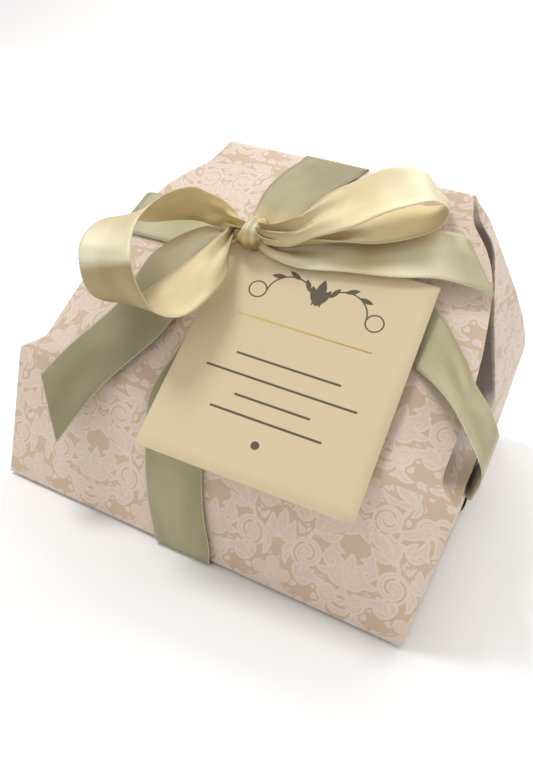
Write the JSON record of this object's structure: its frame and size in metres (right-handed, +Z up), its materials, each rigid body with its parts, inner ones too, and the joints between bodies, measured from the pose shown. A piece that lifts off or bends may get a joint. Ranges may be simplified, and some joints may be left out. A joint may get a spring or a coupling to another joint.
{
  "type": "gift-wrapped panettone",
  "caption": "Low domed sweet loaf in its baking case and clear bag, wrapped in folded printed paper and tied crosswise with satin ribbon, a bow and a card tag.",
  "frame": {"origin": "where the two ribbon bands cross under the middle of the base, on the surface the parcel stands on", "axes": "+Z up, +X along the ridge, -Y towards the side that the tag and the bow lie on"},
  "size_m": [0.196, 0.2146, 0.1512],
  "materials": {
    "wrapping_paper": "matt printed damask scrolls, pale cream-pink on beige-pink",
    "crust": "baked crust, matt",
    "case_paper": "greaseproof baking paper, pleated",
    "clear_film": "clear food film",
    "tie": "paper-covered wire",
    "ribbon_green": "satin, sage green",
    "ribbon_cream": "satin, champagne cream",
    "tag_card": "uncoated cream card with a gold rule"
  },
  "bodies": {
    "root": {"wrap_sheet": "wrapping_paper", "panettone_loaf": "crust", "baking_case": "case_paper", "food_bag": "clear_film", "bag_tie": "tie", "ribbon_band_lengthwise": "ribbon_green", "ribbon_band_crosswise": "ribbon_green", "bow_knot": "ribbon_cream", "bow_loop_left": "ribbon_cream", "bow_loop_right": "ribbon_cream", "bow_tail_left": "ribbon_green", "bow_tail_right": "ribbon_green", "gift_tag": "tag_card"}
  },
  "joints": []
}
